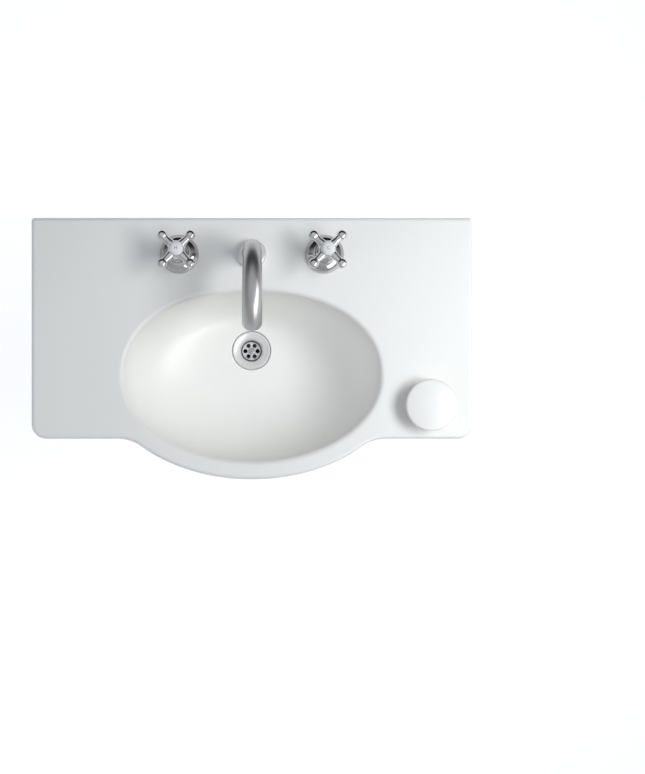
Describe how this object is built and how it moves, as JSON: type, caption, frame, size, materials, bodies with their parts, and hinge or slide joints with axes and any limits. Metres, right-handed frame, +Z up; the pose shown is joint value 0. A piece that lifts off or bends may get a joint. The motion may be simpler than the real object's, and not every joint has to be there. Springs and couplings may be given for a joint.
{
  "type": "pedestal sink",
  "caption": "Wide ceramic pedestal wash basin with an oval bowl, bowed front, cross-handle taps, swivelling spout, strainer waste, bottle trap and loose stopper.",
  "frame": {"origin": "on the floor, under the middle of the basin's width and depth; the wall is at y = +0.193", "axes": "+Z up, +Y towards the wall, -Y out to the user, +X to the right as seen by the user (cold tap side)"},
  "size_m": [0.65, 0.386, 0.9696],
  "materials": {
    "glazed_ceramic": "gloss",
    "chrome": "polished",
    "satin_chrome": "satin",
    "steel": "satin",
    "brass": "satin",
    "rubber": "matte",
    "alumina": "satin",
    "plastic": "matte"
  },
  "bodies": {
    "sink": {"basin": "glazed_ceramic", "pedestal": "glazed_ceramic", "hot_escutcheon": "chrome", "hot_valve_body": "brass", "hot_gasket": "rubber", "hot_washer": "rubber", "hot_locknut": "brass", "hot_headwork": "brass", "hot_seat_seal": "rubber", "hot_fixed_disc": "alumina", "hot_bridge_tube": "brass", "cold_escutcheon": "chrome", "cold_valve_body": "brass", "cold_gasket": "rubber", "cold_washer": "rubber", "cold_locknut": "brass", "cold_headwork": "brass", "cold_seat_seal": "rubber", "cold_fixed_disc": "alumina", "cold_bridge_tube": "brass", "tube_nuts": "brass", "tee": "brass", "spout_base": "satin_chrome", "spout_shank": "brass", "spout_o_rings": "rubber", "spout_gasket": "rubber", "spout_washer": "rubber", "spout_locknut": "brass", "drain_flange": "chrome", "strainer": "chrome", "strainer_screw": "steel", "drain_top_gasket": "rubber", "drain_lower_gasket": "rubber", "drain_body": "chrome", "trap_coupling_nut": "chrome", "trap_inlet_tube": "chrome", "trap_body": "chrome", "trap_cup": "chrome", "trap_cup_seal": "rubber", "trap_nuts": "chrome", "trap_outlet_tube": "chrome", "wall_rosette": "chrome"},
    "hot_tap": {"hot_moving_disc": "alumina", "hot_spindle": "brass", "hot_handle": "chrome", "hot_handle_screw": "steel", "hot_index_cap": "glazed_ceramic"},
    "cold_tap": {"cold_moving_disc": "alumina", "cold_spindle": "brass", "cold_handle": "chrome", "cold_handle_screw": "steel", "cold_index_cap": "glazed_ceramic"},
    "swivel_spout": {"spout": "satin_chrome", "spout_grub_screw": "steel", "aerator_housing": "chrome", "aerator_insert": "plastic"},
    "drain_stopper": {"stopper": "glazed_ceramic", "stopper_o_ring": "rubber"}
  },
  "joints": [
    {"name": "hot_tap_turn", "type": "hinge", "parent": "sink", "child": "hot_tap", "pos_m": [-0.1065, 0.138, 0.896], "axis": [0, 0, 1], "range_deg": [0, 90]},
    {"name": "cold_tap_turn", "type": "hinge", "parent": "sink", "child": "cold_tap", "pos_m": [0.1065, 0.138, 0.896], "axis": [0, 0, 1], "range_deg": [-90, 0]},
    {"name": "spout_swivel", "type": "hinge", "parent": "sink", "child": "swivel_spout", "pos_m": [0, 0.138, 0.88], "axis": [0, 0, 1], "range_deg": [-45, 45]},
    {"name": "stopper_lift", "type": "slide", "parent": "sink", "child": "drain_stopper", "axis": [0, 0, 1], "range_m": [0, 0.15]}
  ]
}
